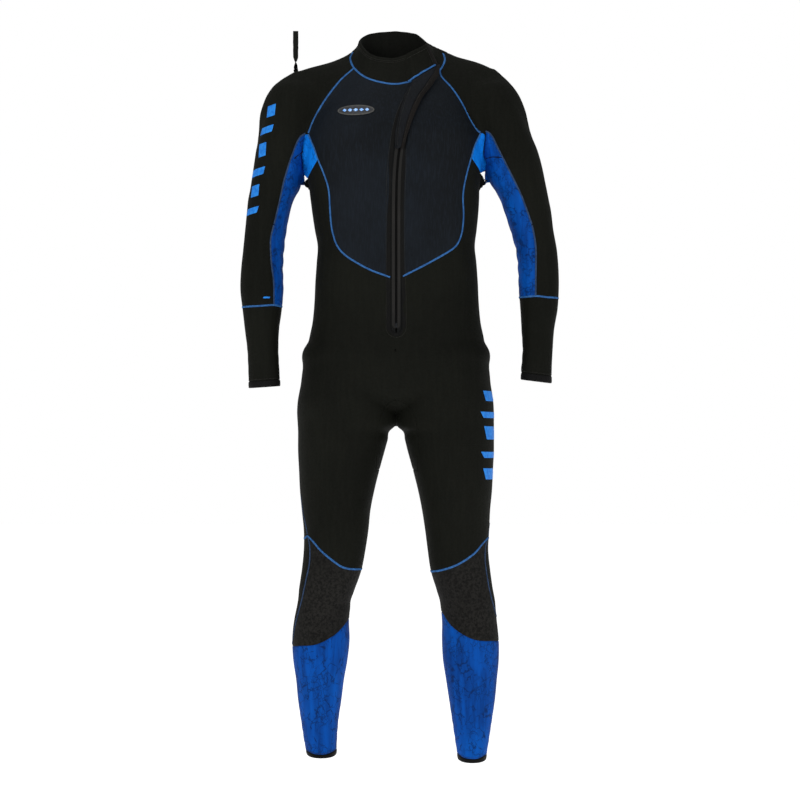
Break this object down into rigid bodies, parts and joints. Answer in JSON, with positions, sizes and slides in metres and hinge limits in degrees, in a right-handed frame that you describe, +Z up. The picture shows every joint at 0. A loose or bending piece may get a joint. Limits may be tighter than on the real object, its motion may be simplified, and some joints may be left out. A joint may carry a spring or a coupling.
{
  "type": "full wetsuit",
  "caption": "Full-length neoprene wetsuit for adults with an off-centre front zip, raglan sleeves, moulded knee panels, blue underarm and calf panels and an overlapping hook-and-loop collar.",
  "frame": {"origin": "on the body centre plane at the level of the right ankle opening, midway between the side seams", "axes": "+Z up, -Y out of the front, -X to the wearer's right"},
  "size_m": [0.632, 0.2439, 1.4727],
  "materials": {
    "black_neoprene": "matt nylon jersey over foam rubber",
    "navy_smoothskin": "fine mesh-pressed rubber, semi-matt",
    "blue_neoprene": "printed nylon jersey over foam rubber",
    "knee_pad": "coarse pressed rubber, matt",
    "binding": "folded stretch tape",
    "zip_tape": "woven tape",
    "zip_chain": "moulded teeth",
    "zip_metal": "black coated",
    "lining": "smooth lining",
    "hook_and_loop": "napped tape",
    "badge": "satin transfer"
  },
  "bodies": {
    "torso": {"chest_panel_right": "navy_smoothskin", "shoulder_right": "black_neoprene", "underarm_gusset_right": "blue_neoprene", "hip_panel_right": "black_neoprene", "chest_panel_left": "navy_smoothskin", "shoulder_left": "black_neoprene", "underarm_gusset_left": "blue_neoprene", "hip_panel_left": "black_neoprene", "abdomen_panel": "black_neoprene", "back_upper_panel": "black_neoprene", "back_lower_panel": "black_neoprene", "crotch_gusset": "black_neoprene", "collar": "black_neoprene", "zip_tape_right": "zip_tape", "zip_tape_left": "zip_tape", "zip_chain": "zip_chain", "zip_bottom_stop": "zip_metal", "zip_top_stop": "zip_metal", "zip_baffle": "lining", "collar_loop_patch": "hook_and_loop", "chest_badge": "badge"},
    "collar_closure": {"collar_flap": "black_neoprene", "collar_hook_patch": "hook_and_loop"},
    "zip_cover": {"zip_flap": "navy_smoothskin", "zip_flap_binding": "binding"},
    "slider": {"zip_slider": "zip_metal"},
    "pull_tab": {"zip_pull_tab": "zip_metal"},
    "upper_arm_right": {"sleeve_upper_right": "black_neoprene", "underarm_panel_right": "blue_neoprene"},
    "lower_arm_right": {"elbow_outer_right": "black_neoprene", "elbow_inner_right": "blue_neoprene", "forearm_right": "black_neoprene", "cuff_hem_right": "binding"},
    "thigh_right": {"thigh_front_right": "black_neoprene", "thigh_back_right": "black_neoprene"},
    "shin_right": {"knee_pad_right": "knee_pad", "knee_back_right": "black_neoprene", "calf_panel_right": "blue_neoprene", "ankle_hem_right": "binding"},
    "upper_arm_left": {"sleeve_upper_left": "black_neoprene", "underarm_panel_left": "blue_neoprene"},
    "lower_arm_left": {"elbow_outer_left": "black_neoprene", "elbow_inner_left": "blue_neoprene", "forearm_left": "black_neoprene", "cuff_hem_left": "binding"},
    "thigh_left": {"thigh_front_left": "black_neoprene", "thigh_back_left": "black_neoprene"},
    "shin_left": {"knee_pad_left": "knee_pad", "knee_back_left": "black_neoprene", "calf_panel_left": "blue_neoprene", "ankle_hem_left": "binding"}
  },
  "joints": [
    {"name": "shoulder_right_raise", "type": "hinge", "parent": "torso", "child": "upper_arm_right", "pos_m": [-0.19, 0.01, 1.325], "axis": [0, 1, 0], "range_deg": [0, 40], "deforming": ["shoulder_right", "underarm_gusset_right"]},
    {"name": "elbow_right_bend", "type": "hinge", "parent": "upper_arm_right", "child": "lower_arm_right", "pos_m": [-0.27, 0.006, 1], "axis": [-1, 0, 0], "range_deg": [0, 60], "deforming": ["elbow_outer_right", "elbow_inner_right"]},
    {"name": "hip_right_swing", "type": "hinge", "parent": "torso", "child": "thigh_right", "pos_m": [-0.095, 0.008, 0.78], "axis": [-1, 0, 0], "range_deg": [-8, 25], "deforming": ["hip_panel_right", "crotch_gusset"]},
    {"name": "knee_right_bend", "type": "hinge", "parent": "thigh_right", "child": "shin_right", "pos_m": [-0.137, 0, 0.335], "axis": [1, 0, 0], "range_deg": [0, 60], "deforming": ["knee_pad_right", "knee_back_right"]},
    {"name": "shoulder_left_raise", "type": "hinge", "parent": "torso", "child": "upper_arm_left", "pos_m": [0.19, 0.01, 1.325], "axis": [0, -1, 0], "range_deg": [0, 40], "deforming": ["shoulder_left", "underarm_gusset_left"]},
    {"name": "elbow_left_bend", "type": "hinge", "parent": "upper_arm_left", "child": "lower_arm_left", "pos_m": [0.27, 0.006, 1], "axis": [-1, 0, 0], "range_deg": [0, 60], "deforming": ["elbow_outer_left", "elbow_inner_left"]},
    {"name": "hip_left_swing", "type": "hinge", "parent": "torso", "child": "thigh_left", "pos_m": [0.095, 0.008, 0.78], "axis": [-1, 0, 0], "range_deg": [-8, 25], "deforming": ["hip_panel_left"]},
    {"name": "knee_left_bend", "type": "hinge", "parent": "thigh_left", "child": "shin_left", "pos_m": [0.137, 0, 0.335], "axis": [1, 0, 0], "range_deg": [0, 60], "deforming": ["knee_pad_left", "knee_back_left"]},
    {"name": "collar_flap_open", "type": "hinge", "parent": "torso", "child": "collar_closure", "pos_m": [0.0355, -0.084, 1.3595], "axis": [0.119, -0.2959, -0.9478], "range_deg": [0, 80]},
    {"name": "zip_flap_lift", "type": "hinge", "parent": "torso", "child": "zip_cover", "pos_m": [0.0047, -0.1226, 1.254], "axis": [-0.2726, -0.3262, -0.9051], "range_deg": [0, 75]},
    {"name": "front_zip_travel", "type": "hinge", "parent": "torso", "child": "slider", "pos_m": [4.3316, -0.10459, 0.915], "axis": [0, -0.9994, -0.0347], "range_deg": [0, 4.93]},
    {"name": "pull_tab_swing", "type": "hinge", "parent": "slider", "child": "pull_tab", "pos_m": [0.01469, -0.11963, 1.25188], "axis": [-0.997, 0, 0.0778], "range_deg": [0, 40]}
  ],
  "couplings": [
    {"joint": "pull_tab_swing", "follows": "zip_flap_lift", "ratio": 0.5}
  ]
}
